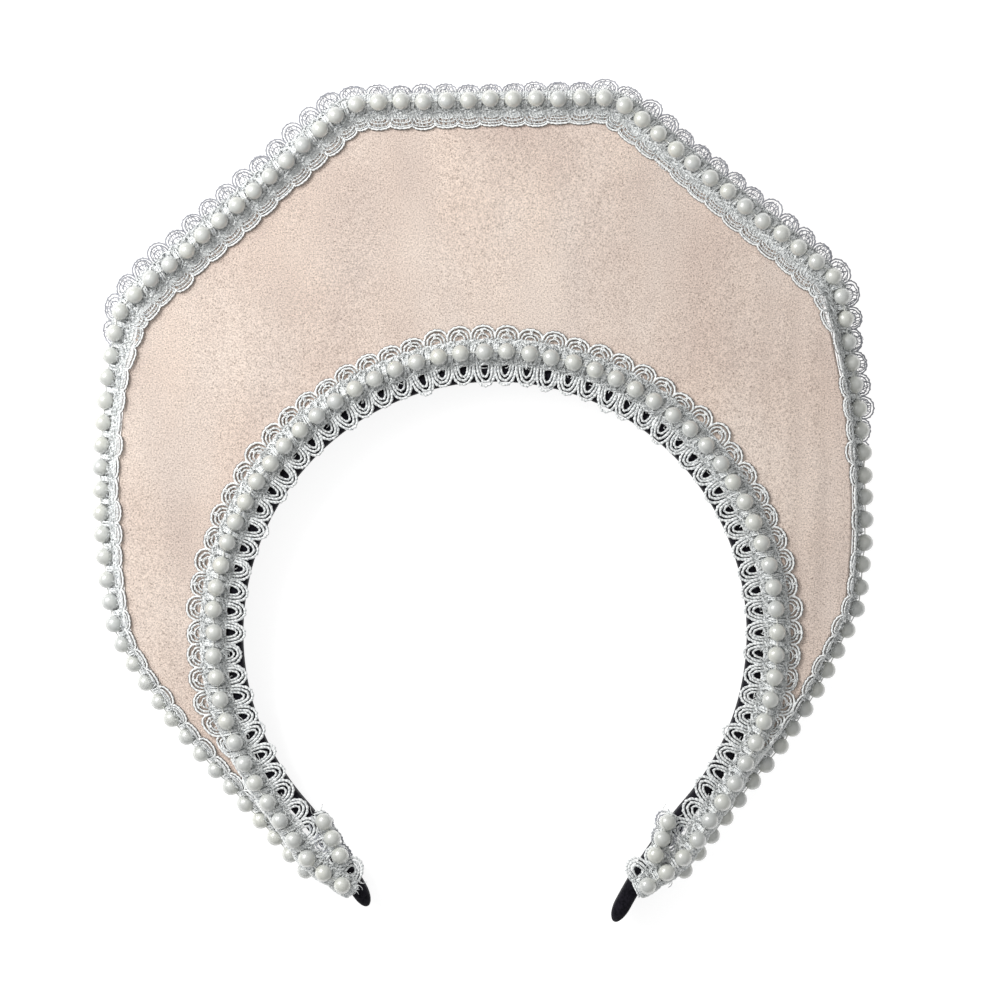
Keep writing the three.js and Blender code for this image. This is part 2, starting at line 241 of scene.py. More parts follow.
def cuff_line(word, side):
    spots = [beside_leg(side, *spot) for spot in CUFF_LINES[word]]
    line = eased_line(spots, [CUFF_EASE] * (len(spots) - 2))
    return line if side < 0 else line[::-1]


def eased_excess(value, ease):
    """Returns how far a value is above zero, with the turn there eased."""
    eased = (value + ease) ** 2 / (4 * ease)
    return np.where(value < -ease, 0, np.where(value > ease, value, eased))


def spread_arrays(*values):
    """Returns numbers and arrays as float arrays of one shape."""
    return np.broadcast_arrays(*(np.asarray(value, float) for value in values))


# Points kept along a row, and how many of them its direction is averaged over.
ROW_SAMPLES = 4000
ROW_SMOOTHING = 15


class Row:
    """A row of pearls and the trim under it: maps trim coordinates to the frame.

    along runs down the row from 0 to length, across is outward from the row, from
    -BRAID_HALF_WIDTH to BRAID_HALF_WIDTH, and height is above what the trim lies on.
    """

    def __init__(self, line, table, count=None, spread=EVEN_SPREAD):
        step = np.linalg.norm(np.diff(line, axis=0), axis=1)
        reach = np.concatenate([[0], np.cumsum(step)])
        self.length = reach[-1]
        self.count = count or round(self.length / PEARL_PITCH)
        self.pitch = self.length / self.count
        self.at = np.linspace(0, self.length, ROW_SAMPLES)
        self.x = np.interp(self.at, reach, line[:, 0])
        self.y = np.interp(self.at, reach, line[:, 1])
        smooth = np.ones(ROW_SMOOTHING) / ROW_SMOOTHING
        pad = ROW_SMOOTHING // 2
        dx = np.convolve(np.pad(np.gradient(self.x), pad, "edge"), smooth, "valid")
        dy = np.convolve(np.pad(np.gradient(self.y), pad, "edge"), smooth, "valid")
        size = np.hypot(dx, dy)
        self.out_x, self.out_y = -dy / size, dx / size
        self.table = table
        self.spread = np.array(spread, dtype=float)

    def section(self, along):
        """Returns the row's point, its outward direction and the trim's angles there."""
        x, y, out_x, out_y = (np.interp(along, self.at, values)
                              for values in (self.x, self.y, self.out_x, self.out_y))
        point, out = np.stack([x, y], -1), np.stack([out_x, out_y], -1)
        beyond = along - np.clip(along, 0, self.length)
        out /= np.linalg.norm(out, axis=-1, keepdims=True)
        point = point + beyond[..., None] * np.stack([out[..., 1], -out[..., 0]], -1)
        place = along / self.length
        roll, tuck, lap = (np.interp(place, self.table[:, 0], self.table[:, k]) for k in (1, 2, 3))
        return point, out, np.radians(roll), np.radians(tuck), lap * BRAID_HALF_WIDTH

    def place(self, along, across, height):
        """Returns the points in the frame, in millimetres from the arch's centre."""
        along, across, height = spread_arrays(along, across, height)
        point, out, roll, tuck, lap = self.section(along)
        place = along / self.length
        wide = [np.interp(place, self.spread[:, 0], self.spread[:, k]) for k in (1, 2)]
        beyond = np.maximum(np.abs(across) - GATHER_START, 0)
        across = across - np.sign(across) * beyond * (1 - np.where(across > 0, *wide))
        inner, outer = eased_excess(-across, SIDE_BEND), eased_excess(across, SIDE_BEND)
        to_edge = BRAID_HALF_WIDTH - lap
        lying = eased_excess(inner - to_edge, EDGE_BEND)
        climb = inner - lying
        x = (BRAID_LIFT - PEARL_SEAT) * np.sin(roll)
        x = x - np.cos(roll) * climb - lying + np.cos(roll + tuck) * outer
        z = BRAID_LIFT * np.cos(roll) - to_edge * np.sin(roll)
        z = z + np.sin(roll) * climb - np.sin(roll + tuck) * outer
        over = np.clip(inner - to_edge + EDGE_BEND, 0, 1)
        facing = roll * (1 - over) + tuck * np.clip(across / (2 * SIDE_BEND) + 0.5, 0, 1)
        rise = height - BRAID_LIFT * (1 - over * np.sin(roll))
        x = x + np.sin(facing) * rise
        z = z + np.cos(facing) * rise
        plan = point + out * x[..., None]
        return np.concatenate([plan, (front_height(plan[..., 1]) + z)[..., None]], -1)

    def above(self, along, across, height):
        """Returns points over the middle of the trim, where the pearls lie."""
        along, across, height = spread_arrays(along, across, height)
        point, out, roll, tuck, lap = self.section(along)
        tilt = roll + np.minimum(0, tuck) / 2
        rise = height - BRAID_LIFT
        x = (BRAID_LIFT - PEARL_SEAT) * np.sin(roll) + np.sin(tilt) * rise + np.cos(tilt) * across
        z = BRAID_LIFT * np.cos(roll) + (lap - BRAID_HALF_WIDTH) * np.sin(roll)
        z = z + np.cos(tilt) * rise - np.sin(tilt) * across
        plan = point + out * x[..., None]
        return np.concatenate([plan, (front_height(plan[..., 1]) + z)[..., None]], -1)


# Meshes

def to_frame(points):
    """Scales points from millimetres at the arch's centre to metres in the frame."""
    points = np.asarray(points, dtype=float).reshape(-1, 3).copy()
    points[:, :2] += ARCH
    return points * MM


def make_object(name, points, quads, caps=(), marks=None):
    """Makes a smooth-shaded mesh object from points, quads and end polygons.

    marks are texture coordinates for the quads' corners.
    """
    mesh = bpy.data.meshes.new(name)
    sizes = np.concatenate([np.full(len(quads), 4), [len(cap) for cap in caps]]).astype(np.int32)
    starts = np.concatenate([[0], np.cumsum(sizes)[:-1]]).astype(np.int32)
    corners = np.concatenate([np.ravel(quads), *caps]).astype(np.int32)
    mesh.vertices.add(len(points))
    mesh.vertices.foreach_set("co", np.asarray(points, dtype=np.float32).ravel())
    mesh.loops.add(len(corners))
    mesh.loops.foreach_set("vertex_index", corners)
    mesh.polygons.add(len(sizes))
    mesh.polygons.foreach_set("loop_start", starts)
    mesh.polygons.foreach_set("use_smooth", np.ones(len(sizes), dtype=bool))
    if marks is not None:
        spread = np.zeros((len(corners), 2), dtype=np.float32)
        spread[:len(marks)] = marks
        mesh.uv_layers.new(name="thread").data.foreach_set("uv", spread.ravel())
    mesh.update(calc_edges=True)
    mesh.validate()
    obj = bpy.data.objects.new(name, mesh)
    bpy.context.scene.collection.objects.link(obj)
    return obj


def loft_quads(rings, sides, first=0):
    """Returns the quads that join rings of points into one skin."""
    ring = np.arange(rings - 1)[:, None] * sides + first
    side = np.arange(sides)[None, :]
    after = (side + 1) % sides
    corners = [ring + side, ring + after, ring + sides + after, ring + sides + side]
    return np.stack(corners, -1).reshape(-1, 4)


def loft_object(name, rings):
    """Makes one closed body through rings of points, an array of rings, sides and xyz."""
    count, sides, _ = rings.shape
    quads = loft_quads(count, sides)
    caps = [np.arange(sides)[::-1], np.arange(sides) + (count - 1) * sides]
    return make_object(name, to_frame(rings), quads, caps)


def thread_mesh(curves, guides, radii, sides):
    """Returns points, faces and texture coordinates of round threads.

    curves is threads by steps by xyz, guides a direction at each point that a thread never
    runs along, and radii its radius there. The coordinates are millimetres along the thread
    and turns round it.
    """
    along = np.gradient(curves, axis=1)
    along /= np.linalg.norm(along, axis=-1, keepdims=True)
    side = np.cross(along, guides)
    side /= np.linalg.norm(side, axis=-1, keepdims=True)
    up = np.cross(side, along)
    turn = np.linspace(0, 2 * math.pi, sides, endpoint=False)
    ring = np.cos(turn)[:, None] * side[..., None, :] + np.sin(turn)[:, None] * up[..., None, :]
    points = curves[..., None, :] + ring * np.asarray(radii)[..., None, None]
    threads, steps = curves.shape[:2]
    base = loft_quads(steps, sides)[:, ::-1]
    first = (np.arange(threads) * steps * sides)[:, None, None]
    quads = (base[None] + first).reshape(-1, 4)
    caps = []
    for k in range(threads):
        start = k * steps * sides
        caps.append(np.arange(sides) + start)
        caps.append(np.arange(sides)[::-1] + start + (steps - 1) * sides)
    reach = np.zeros((threads, steps))
    reach[:, 1:] = np.cumsum(np.linalg.norm(np.diff(curves, axis=1), axis=-1), axis=1)
    ends = np.stack([reach[:, 1:], reach[:, 1:], reach[:, :-1], reach[:, :-1]], -1)
    lengths = np.repeat(ends[:, :, None], sides, axis=2)
    turns = (np.arange(sides)[:, None] + np.array([0, 1, 1, 0])) / sides
    turns = np.broadcast_to(turns, lengths.shape)
    return points.reshape(-1, 3), quads, caps, np.stack([lengths, turns], -1).reshape(-1, 2)


# Texture coordinates that give a whole thread one look: untwisted, greyer, or dark with painted
# shade.
TWIST_PITCH = 0.9
PLAIN = (TWIST_PITCH / 4, 0)
GREYED = (TWIST_PITCH / 4, 1.5)
PAINTED_SHADE = (TWIST_PITCH / 4, 2)


class Threads:
    """Collects threads and makes them one object."""

    def __init__(self):
        self.points, self.quads, self.caps, self.marks, self.total = [], [], [], [], 0

    def add(self, curves, guides, radii, sides, look=None):
        """Adds round threads: twisted ones, or with one look all over."""
        radii = np.broadcast_to(radii, curves.shape[:2])
        points, quads, caps, marks = thread_mesh(curves, guides, radii, sides)
        if look is not None:
            marks[:] = look
        self.add_faces(points, quads, caps, marks)

    def add_strip(self, rings):
        """Adds one closed strip through rings of points."""
        count, sides, _ = rings.shape
        quads = loft_quads(count, sides)
        caps = [np.arange(sides)[::-1], np.arange(sides) + (count - 1) * sides]
        self.add_faces(rings.reshape(-1, 3), quads, caps, np.tile(PLAIN, (quads.size, 1)))

    def add_faces(self, points, quads, caps, marks):
        self.points.append(points)
        self.quads.append(quads + self.total)
        self.caps.extend(cap + self.total for cap in caps)
        self.marks.append(marks)
        self.total += len(points)

    def make(self, name):
        points, quads, marks = (np.vstack(parts) for parts in (self.points, self.quads, self.marks))
        return make_object(name, to_frame(points), quads, self.caps, marks)


# Lace

# The threads of one scallop, outermost first: half width along the row as a share of the
# pitch, reach of the tip and of the feet from the row, radius and height.
CLOSED_SCALLOP = [
    (0.50, 6.50, 3.5, 0.29, 0.50),
    (0.37, 5.60, 3.2, 0.27, 0.55),
    (0.23, 4.65, 3.0, 0.22, 0.60),
]
OPEN_SCALLOP = [
    (0.49, 7.95, 3.1, 0.36, 0.52),
    (0.35, 6.95, 3.0, 0.34, 0.76),
    (0.22, 5.90, 2.9, 0.30, 0.66),
]
SELVAGE = [
    (0.50, 7.40, 6.1, 0.26, 0.55),
    (0.49, 6.75, 5.5, 0.16, 0.60),
    (0.42, 5.80, 4.6, 0.17, 0.70),
    (0.30, 4.90, 3.8, 0.17, 0.62),
]
FINE_SCALLOP = [
    (0.50, 6.55, 3.2, 0.21, 0.50),
    (0.40, 5.75, 3.0, 0.17, 0.60),
    (0.26, 4.75, 2.8, 0.17, 0.52),
]
CUFF_SCALLOP = [
    (0.50, 4.00, 2.0, 0.26, 0.50),
    (0.30, 3.20, 1.8, 0.22, 0.66),
]
EDGE_STEPS = 19
ARC_STEPS = 12
GUIDE_STEP = 0.5

# Dark threads of painted shade beside a loop: radius, and height and distance, for the painted
# shadow outside it and the painted shade inside it.
SHADOW_THREAD_RADIUS, SHADOW_THREAD_HEIGHT, SHADOW_THREAD_GAP = 0.15, 0.14, 0.02
HOLLOW_SHADE_RADIUS, HOLLOW_SHADE_HEIGHT, HOLLOW_SHADE_GAP = 0.12, 0.36, 0.12

# The mesh inside the outermost loops, and the figure of eight inside the inner trim's.
MESH_A_PEARL = 8
MESH_STEPS = 5
MESH_SLANT = 0.2
MESH_HEIGHT = 0.5
MESH_RADII = (0.09, 0.14)
EYELET_STEPS = 13
EYELET_REACH = 5.35
EYELET_HALF_WIDTH = 0.36
EYELET_HALF_LENGTH = 0.62
EYELET_RADIUS = 0.14

# The tape under the plait, and how far the outer trim's reaches inward.
TAPE_STEPS = 4
TAPE_COLUMNS = 7
TAPE_HEIGHT = 0.12
TAPE_THICKNESS = 0.2
TAPE_MARGINS = (0.4, 0.5)
SELVAGE_TAPE = 4.7

# The plait: its half width, lanes, and the radii of lanes, crossing threads and wraps.
CORE_HALF = 2.9
CORE_LANES = 9
CORE_STEPS = 8
CUFF_CORE_HALF = 1.5
CUFF_LANES = 5
LANE_RADIUS = 0.37
CROSSING_RADIUS = 0.2
WRAP_RADIUS = 0.22
WRAP_STEPS = 11

# The fine strands round the pearls.
FUZZ_A_PEARL = 30
FUZZ_STEPS = 5
FUZZ_LENGTHS = (1.2, 2.8)
FUZZ_RADII = (0.07, 0.12)


def add_thread(threads, row, along, across, height, radius, sides, look=None):
    """Adds threads given in the trim's own coordinates."""
    along, across, height = np.broadcast_arrays(along, across, height)
    curve = row.place(along, across, height)
    upward = row.place(along, across, height + GUIDE_STEP) - curve
    threads.add(curve, upward, radius, sides, look)


def add_scallops(threads, row, first, last, side, scallop):
    """Adds the nested loops along one side of a trim, from one pearl to another, with dark threads
    of painted shade beside some of them.
    """
    peaks = (np.arange(first, last)[:, None] + 0.5) * row.pitch
    lean = rng.normal(0, 0.07, peaks.shape)
    stretch = rng.normal(1, 0.05, peaks.shape)
    for number, (half, tip, foot, radius, height) in enumerate(scallop):
        turn = np.linspace(0, math.pi, EDGE_STEPS if number == 0 else ARC_STEPS)
        wander = rng.normal(0, 0.10, peaks.shape)
        rise = (tip * stretch - foot + wander) * np.sin(turn) ** 0.75
        along = peaks - np.cos(turn) * half * row.pitch + (lean + wander * 0.3) * rise
        beats = 7 if number == 0 else 4
        phase = rng.uniform(0, 6, peaks.shape)
        beat = np.sin(np.linspace(0, 2 * math.pi * beats, len(turn)) + phase)
        lift = height + 0.12 * beat + 0.15 * np.sin(turn) + wander
        thick = radius * (1 + 0.2 * beat)
        across = side * (foot + rise + 0.25 * radius * beat)
        shade_edged = number == 0 and scallop in (SELVAGE, CLOSED_SCALLOP)
        look = None
        if shade_edged:
            look = PLAIN
        elif scallop in (FINE_SCALLOP, CUFF_SCALLOP):
            look = GREYED
        add_thread(threads, row, along, across, lift, thick, 5 if number == 0 else 4, look)
        # Dark threads of painted shade: a painted shadow on the surface just outside the outermost
        # loop, and painted shade inside the loops.
        if shade_edged:
            beside = across + side * (radius + SHADOW_THREAD_GAP)
            add_thread(threads, row, along, beside, SHADOW_THREAD_HEIGHT, SHADOW_THREAD_RADIUS, 3, PAINTED_SHADE)
        if shade_edged or scallop is CLOSED_SCALLOP:
            beside = across - side * (radius + HOLLOW_SHADE_GAP)
            add_thread(threads, row, along, beside, HOLLOW_SHADE_HEIGHT, HOLLOW_SHADE_RADIUS, 3, PAINTED_SHADE)


def add_mesh(threads, row, first, last, side, scallop, look=None):
    """Adds the fine slanting threads that fill one side inside its outermost loop."""
    _, tip, foot, _, _ = scallop[0]
    peaks = (np.arange(first, last)[:, None] + 0.5) * row.pitch
    share = np.linspace(0, 1, MESH_STEPS)
    for slant in (-MESH_SLANT, MESH_SLANT):
        for spot in np.linspace(-0.45, 0.45, MESH_A_PEARL):
            spots = spot + rng.normal(0, 0.02, peaks.shape)
            ends = np.clip(spots + slant + rng.normal(0, 0.04, peaks.shape), -0.48, 0.48)
            limit = foot + (tip - foot) * np.cos(math.pi * ends) ** 0.75 - 0.15
            along = peaks + (spots + (ends - spots) * share) * row.pitch
            across = CORE_HALF - 0.4 + (limit - CORE_HALF + 0.4) * share
            across = across + rng.normal(0, 0.06, across.shape)
            lift = MESH_HEIGHT + 0.12 * np.sign(slant) + rng.normal(0, 0.06, across.shape)
            radius = rng.uniform(*MESH_RADII, peaks.shape)
            add_thread(threads, row, along, side * across, lift, radius, 3, look)


def add_eyelets(threads, row, first, last):
    """Adds the little figure of eight inside each outward loop."""
    peaks = (np.arange(first, last)[:, None] + 0.5) * row.pitch
    turn = np.linspace(0, 2 * math.pi, EYELET_STEPS)
    along = peaks + rng.normal(0, 0.15, peaks.shape) + EYELET_HALF_WIDTH * np.sin(2 * turn)
    reach = EYELET_REACH + rng.normal(0, 0.1, peaks.shape)
    across = reach + EYELET_HALF_LENGTH * np.sin(turn)
    lift = 0.85 + 0.08 * np.cos(2 * turn)
    add_thread(threads, row, along, across, lift, EYELET_RADIUS, 4, PLAIN)


def add_backing(threads, row, first, last, inner, outer):
    """Adds the woven tape that carries the plait."""
    along = np.linspace(first * row.pitch, last * row.pitch, (last - first) * TAPE_STEPS + 1)
    across = np.linspace(-inner, outer, TAPE_COLUMNS)
    section = np.concatenate([across, across[::-1]])
    height = np.repeat([TAPE_HEIGHT, TAPE_HEIGHT + TAPE_THICKNESS], TAPE_COLUMNS)
    threads.add_strip(row.place(along[:, None], section, height))


def add_core(threads, row, first, last, half, lanes):
    """Adds the plaited middle of a trim: waving lanes, crossing threads and wraps."""
    steps = (last - first) * CORE_STEPS + 1
    along = np.linspace(first * row.pitch, last * row.pitch, steps)
    wave = 2 * math.pi * along / row.pitch
    for number, lane in enumerate(np.linspace(-half, half, lanes)):
        phase = number * math.pi * 0.75
        jitter = rng.normal(0, 0.07, (2, 1, steps))
        across = lane + 0.36 * np.sin(2 * wave + phase) + jitter[0]
        lift = 0.60 + 0.24 * np.cos(2 * wave + phase * 1.7) + jitter[1]
        add_thread(threads, row, along, across, lift, LANE_RADIUS, 4)
    for phase in (0.0, 2.1, 4.2):
        across = (half + 0.2) * np.sin(1.5 * wave + phase)[None] + rng.normal(0, 0.12, (1, steps))
        lift = 1.05 + rng.normal(0, 0.12, (1, steps))
        add_thread(threads, row, along, across, lift, CROSSING_RADIUS, 4)
    gaps = np.arange(first, last + 1)[:, None] * row.pitch
    turn = np.linspace(0, math.pi, WRAP_STEPS)
    for shift in (-0.5, -0.15, 0.2, 0.5):
        spot = gaps + shift + 0.3 * np.cos(turn) + rng.normal(0, 0.08, gaps.shape)
        across = (0.65 * half + rng.normal(0, 0.2, gaps.shape)) * np.cos(turn)
        lift = 0.7 + (1.7 + rng.normal(0, 0.15, gaps.shape)) * np.sin(turn)
        curve = row.place(spot, across, lift)
        forward = row.place(spot + GUIDE_STEP, across, lift) - curve
        threads.add(curve, forward, WRAP_RADIUS, 4)


def add_fuzz(threads, row, first, last, half):
    """Adds the short fine strands that stand out of the plait round the pearls."""
    count = (last - first) * FUZZ_A_PEARL
    start = rng.uniform(first * row.pitch, last * row.pitch, (count, 1))
    lane = rng.uniform(-half - 0.5, half + 0.5, (count, 1))
    length = rng.uniform(*FUZZ_LENGTHS, (count, 1))
    share = np.linspace(0, 1, FUZZ_STEPS)
    heading = rng.uniform(0, 2 * math.pi, (count, 1)) + rng.normal(0, 1.8, (count, 1)) * share
    step = length / (FUZZ_STEPS - 1)
    along = start + np.cumsum(np.cos(heading) * step, axis=1)
    across = np.clip(lane + np.cumsum(np.sin(heading) * step, axis=1), -half - 1.2, half + 1.2)
    off = (along / row.pitch) % 1 - 0.5
    near = np.clip(1 - np.hypot(off * row.pitch, across) / 3.2, 0, 1)
    lift = 1.0 + 1.4 * near + rng.uniform(0, 0.35, (count, 1)) + 0.5 * np.sin(share * math.pi)
    add_thread(threads, row, along, across, lift, rng.uniform(*FUZZ_RADII, (count, 1)), 3)


def make_lace(name, row, first, last, inward, outward):
    """Makes the trim between two pearls: its tape and plait, and loops on each side."""
    threads = Threads()
    add_scallops(threads, row, first, last, -1, inward)
    add_scallops(threads, row, first, last, 1, outward)
    if inward is SELVAGE:
        add_mesh(threads, row, first, last, -1, inward)
    if outward is FINE_SCALLOP:
        add_mesh(threads, row, first, last, 1, outward, GREYED)
    if outward is CLOSED_SCALLOP:
        add_eyelets(threads, row, max(first, GATHERED), min(last, row.count - GATHERED))
    cuff = outward is CUFF_SCALLOP
    half = CUFF_CORE_HALF if cuff else CORE_HALF
    reach = SELVAGE_TAPE if inward is SELVAGE else half + TAPE_MARGINS[0]
    add_backing(threads, row, first, last, reach, half + TAPE_MARGINS[1])
    add_core(threads, row, first, last, half, CUFF_LANES if cuff else CORE_LANES)
    add_fuzz(threads, row, first, last, half)
    return threads.make(name)


# Pearls

PEARL_SIDES = 24
PEARL_RINGS = 13
STRING_RADIUS = 0.16


def make_pearls(name, row):
    """Makes a row of pearls on their string, one closed body."""
    turn = np.linspace(0, 2 * math.pi, PEARL_SIDES, endpoint=False)
    slope = math.asin(STRING_RADIUS / PEARL_RADIUS)
    lat = np.linspace(slope, math.pi - slope, PEARL_RINGS)
    rings = []
    for k in range(row.count):
        radius = PEARL_RADIUS * (1 + rng.normal(0, 0.012))
        spot = (k + 0.5) * row.pitch + rng.normal(0, 0.1)
        across, height = rng.normal(0, 0.12), PEARL_HEIGHT + rng.normal(0, 0.06)
        middle = row.above(spot, across, height)
        way = row.above(spot + GUIDE_STEP, across, height) - middle
        way /= np.linalg.norm(way)
        up = row.above(spot, across, height + GUIDE_STEP) - middle
        up -= way * (up @ way)
        up /= np.linalg.norm(up)
        out = np.cross(up, way)
        for angle in lat:
            centre = middle - way * radius * math.cos(angle)
            ring = np.cos(turn)[:, None] * out + np.sin(turn)[:, None] * up
            rings.append(centre + ring * radius * math.sin(angle))
    return loft_object(name, np.array(rings)[:, ::-1])


# Band and panel

BAND_EDGE_ROUND = 1.5
CORNER_STEPS = 6
LEG_STEPS = 30
TIP_STEPS = 14
TIP_END_ANGLE = 84
ARCH_STEPS = 160
TIP_THINNING = 0.6


def rounded_section(half_thick, half_deep, corner):
    """Returns a rectangle with round corners, counter-clockwise in across and up."""
    points = []
    for k, (sx, sz) in enumerate([(1, -1), (1, 1), (-1, 1), (-1, -1)]):
        turn = np.radians(np.linspace(-90, 0, CORNER_STEPS) + 90 * k)
        points.extend(np.stack([sx * (half_thick - corner) + corner * np.cos(turn),
                                sz * (half_deep - corner) + corner * np.sin(turn)], -1))
    return np.array(points)


def make_band():
    """The band: one skin from the left tip over the arch to the right tip."""
    stations = []
    for side, length in ((-1, LEFT_LEG_LENGTH), (1, RIGHT_LEG_LENGTH)):
        leg = []
        for along in np.linspace(0, length - TIP_ROUNDING, LEG_STEPS)[1:]:
            leg.append((*leg_station(side, along), 1.0))
        for turn in np.radians(np.linspace(0, TIP_END_ANGLE, TIP_STEPS))[1:]:
            along = length - TIP_ROUNDING + TIP_ROUNDING * math.sin(turn)
            leg.append((*leg_station(side, along), math.cos(turn)))
        if side < 0:
            stations.extend(leg[::-1])
            over = np.linspace(180 + LEG_START_ANGLE, -LEG_START_ANGLE, ARCH_STEPS)
            for turn in np.radians(over):
                out = np.array([math.cos(turn), math.sin(turn)])
                stations.append((out * CENTRE_RADIUS, out, 1.0))
        else:
            stations.extend(leg)
    rings = []
    for point, out, shrink in stations:
        half_deep = band_depth(point[1]) / 2 - (1 - shrink) * TIP_ROUNDING * TIP_THINNING
        section = rounded_section(BAND_THICKNESS / 2 * shrink, half_deep, BAND_EDGE_ROUND * shrink)
        plan = point + out * section[:, :1]
        rings.append(np.concatenate([plan, BAND_DEPTH / 2 + section[:, 1:]], -1))
    return loft_object("velvet_band", np.array(rings))


# The panel's mesh, its seam to the band, and how its cover sinks and flattens at the edges.
FACE_COLUMNS = 44
PANEL_EDGE_SAMPLES = 900
RIM_STEPS = 9
PANEL_SEAM = 0.05
COVER_DROP = 0.12
COVER_MARGIN = 6


def soft_relief(x, y):
    """The slight drape of the cover over its board, in millimetres."""
    folds = 0.07 * np.sin(x / 5.1 + 0.7 * np.sin(y / 23)) * np.sin(y / 31 + 1.0)
    swell = 0.10 * np.sin(x / 17 + 1.3) * np.cos(y / 21 + 0.4)
    wrinkles = 0.12 * np.clip((x - 55) / 30, 0, 1) * np.sin(x / 1.15 + 0.6 * np.sin(y / 9))
    return folds + swell + wrinkles


def make_panel(row):
    """The covered board: its outer edge follows the trim and its inner one the band."""
    along = np.linspace(0, row.length, PANEL_EDGE_SAMPLES)
    point, out, roll, tuck, lap = row.section(along)
    inset = PEARL_SEAT * np.sin(roll) + (BRAID_HALF_WIDTH - lap) * np.cos(roll)
    edge = point - out * inset[:, None]
    angle = np.degrees(np.arctan2(edge[:, 1], edge[:, 0]))
    angle = np.where(angle < -90, angle + 360, angle)
    keep = (angle < 180 + PANEL_TOE_ANGLE) & (angle > -PANEL_TOE_ANGLE)
    edge, angle = edge[keep][::2], angle[keep][::2]
    turn = np.radians(angle)
    inner = (OUTER_RADIUS + PANEL_SEAM) * np.stack([np.cos(turn), np.sin(turn)], -1)
    columns = np.linspace(0, 1, FACE_COLUMNS)
    rim = np.linspace(0, math.pi, RIM_STEPS)[1:-1]
    half = PANEL_THICKNESS / 2
    middle = BAND_DEPTH - half
    rings = []
    for a, b in zip(inner, edge):
        way = (b - a) / np.linalg.norm(b - a)
        a, b = a + way * PANEL_EDGE_ROUND, b - way * PANEL_EDGE_ROUND
        back = a + (b - a) * columns[:, None]
        front = back[::-1]
        near = np.minimum(columns, 1 - columns) * np.linalg.norm(b - a) / COVER_MARGIN
        near = np.clip(near, 0, 1)
        relief = soft_relief(front[:, 0], front[:, 1]) * near[::-1]
        outer_rim = b + way * (PANEL_EDGE_ROUND * np.sin(rim))[:, None]
        inner_rim = a - way * (PANEL_EDGE_ROUND * np.sin(rim))[:, None]
        ring = [
            np.column_stack([back, np.full(FACE_COLUMNS, middle - half)]),
            np.column_stack([outer_rim, middle - half * np.cos(rim)]),
            np.column_stack([front, middle + half + relief - COVER_DROP]),
            np.column_stack([inner_rim, middle + half * np.cos(rim)]),
        ]
        rings.append(np.vstack(ring))
    return loft_object("suede_panel", np.array(rings))


# Materials

def new_material(name, colour, roughness):
    material = bpy.data.materials.new(name)
    material.use_nodes = True
    shader = material.node_tree.nodes["Principled BSDF"]
    shader.inputs["Base Color"].default_value = (*colour, 1)
    shader.inputs["Roughness"].default_value = roughness
    return material, shader


def add_node(material, kind, **inputs):
    node = material.node_tree.nodes.new(kind)
    for key, value in inputs.items():
        node.inputs[key].default_value = value
    return node


def noise(material, scale, detail=3.0, roughness=0.6, stretch=(1, 1, 1)):
    """Returns the output of a noise over the object's own coordinates."""
    coords = add_node(material, "ShaderNodeTexCoord")
    mapping = add_node(material, "ShaderNodeMapping")
    mapping.inputs["Scale"].default_value = stretch
    texture = add_node(material, "ShaderNodeTexNoise", Scale=scale, Detail=detail,
                       Roughness=roughness)
    links = material.node_tree.links
    links.new(coords.outputs["Object"], mapping.inputs["Vector"])
    links.new(mapping.outputs["Vector"], texture.inputs["Vector"])
    return texture.outputs["Fac"]


def ramp(material, value, stops):
    """Returns a colour that follows a value through (place, colour) stops."""
    node = add_node(material, "ShaderNodeValToRGB")
    elements = node.color_ramp.elements
    while len(elements) < len(stops):
        elements.new(0.5)
    for element, (place, colour) in zip(elements, stops):
        element.position = place
        element.color = (*colour, 1)
    material.node_tree.links.new(value, node.inputs["Fac"])
    return node.outputs["Color"]


def mix_colours(material, factor, first, second, blend="MIX"):
    node = add_node(material, "ShaderNodeMix")
    node.data_type = "RGBA"
    node.blend_type = blend
    links = material.node_tree.links
    if isinstance(factor, float):
        node.inputs["Factor"].default_value = factor
    else:
        links.new(factor, node.inputs["Factor"])
    links.new(first, node.inputs[6])
    links.new(second, node.inputs[7])
    return node.outputs[2]


def add_math(material, operation, first, second, third=None):
    node = add_node(material, "ShaderNodeMath")
    node.operation = operation
    material.node_tree.links.new(first, node.inputs[0])
    for number, value in ((1, second), (2, third)):
        if isinstance(value, float):
            node.inputs[number].default_value = value
        elif value is not None:
            material.node_tree.links.new(value, node.inputs[number])
    return node.outputs[0]


def add_bump(material, shader, heights):
    """Stacks bumps from (value, depth in metres, strength) rows onto a shader."""
    links = material.node_tree.links
    below = None
    for value, depth, strength in heights:
        bump = add_node(material, "ShaderNodeBump", Distance=depth, Strength=strength)
        links.new(value, bump.inputs["Height"])
        if below is not None:
            links.new(below, bump.inputs["Normal"])
        below = bump.outputs["Normal"]
    links.new(below, shader.inputs["Normal"])


